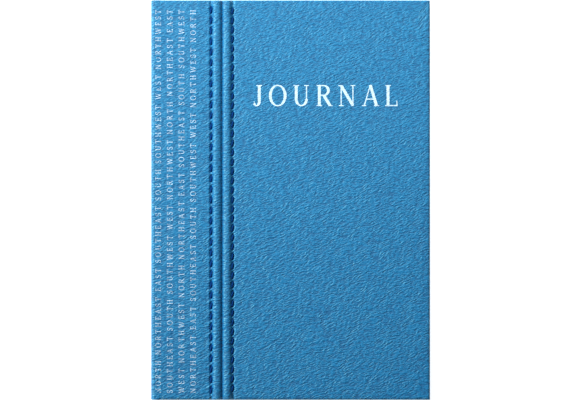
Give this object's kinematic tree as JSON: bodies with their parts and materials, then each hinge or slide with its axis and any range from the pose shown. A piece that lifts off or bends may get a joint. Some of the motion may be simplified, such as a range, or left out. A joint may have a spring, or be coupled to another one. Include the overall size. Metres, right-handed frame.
{
  "type": "hardcover logbook",
  "caption": "Sewn hardcover logbook with a padded leather case, a stitched double-welt front seam and covers that hinge open.",
  "frame": {"origin": "centre of the back cover's outer face, which rests on the table", "axes": "+X from the spine to the fore-edge, +Y towards the head, +Z out of the front cover"},
  "size_m": [0.148, 0.212, 0.0197],
  "materials": {
    "leather": "fine-grained satin, mid blue",
    "foam": "closed-cell foam sheet",
    "board": "grey bookbinding board",
    "endpaper": "uncoated heavy paper",
    "kraft": "kraft paper",
    "gauze": "open gauze, glued",
    "linen_thread": "waxed linen",
    "band_silk": "woven band, navy and white",
    "page_paper": "uncoated writing paper",
    "cotton_cord": "soft cotton",
    "navy_thread": "bonded sewing thread",
    "foil": "white stamping foil"
  },
  "bodies": {
    "back_cover": {"back_leather": "leather", "back_padding": "foam", "back_board": "board", "back_pastedown": "endpaper"},
    "text_block": {"spine_leather": "leather", "front_joint_leather": "leather", "back_joint_leather": "leather", "spine_card": "board", "spine_liner": "kraft", "mull": "gauze", "sewing_thread": "linen_thread", "headband": "band_silk", "tailband": "band_silk", "section_02": "page_paper", "section_03": "page_paper", "section_04": "page_paper", "section_05": "page_paper", "section_06": "page_paper", "section_07": "page_paper", "section_08": "page_paper", "section_09": "page_paper", "section_10": "page_paper"},
    "front_cover": {"strip_leather": "leather", "panel_leather": "leather", "left_seam_filler": "cotton_cord", "right_seam_filler": "cotton_cord", "left_stitches": "navy_thread", "right_stitches": "navy_thread", "front_padding": "foam", "front_board": "board", "front_pastedown": "endpaper", "title_foil": "foil", "column_foil": "foil"},
    "front_flyleaf": {"front_flyleaf": "endpaper"},
    "first_section": {"section_01": "page_paper"},
    "back_flyleaf": {"back_flyleaf": "endpaper"}
  },
  "joints": [
    {"name": "back_cover_open", "type": "hinge", "parent": "back_cover", "child": "text_block", "pos_m": [-0.07205, 0, 0.00195], "axis": [0, 1, 0], "range_deg": [-90, 0]},
    {"name": "front_cover_open", "type": "hinge", "parent": "text_block", "child": "front_cover", "pos_m": [-0.07205, 0, 0.01661], "axis": [0, -1, 0], "range_deg": [0, 178]},
    {"name": "front_flyleaf_turn", "type": "hinge", "parent": "text_block", "child": "front_flyleaf", "pos_m": [-0.07205, 0, 0.01661], "axis": [0, -1, 0], "range_deg": [0, 176.23]},
    {"name": "first_section_turn", "type": "hinge", "parent": "text_block", "child": "first_section", "pos_m": [-0.07205, 0, 0.01661], "axis": [0, -1, 0], "range_deg": [0, 174.45]},
    {"name": "back_flyleaf_turn", "type": "hinge", "parent": "back_cover", "child": "back_flyleaf", "pos_m": [-0.07205, 0, 0.00195], "axis": [0, 1, 0], "range_deg": [-18.01, 0]}
  ],
  "couplings": [
    {"joint": "front_flyleaf_turn", "follows": "front_cover_open", "ratio": 0.99},
    {"joint": "first_section_turn", "follows": "front_cover_open", "ratio": 0.98},
    {"joint": "back_flyleaf_turn", "follows": "back_cover_open", "ratio": 0.2}
  ]
}
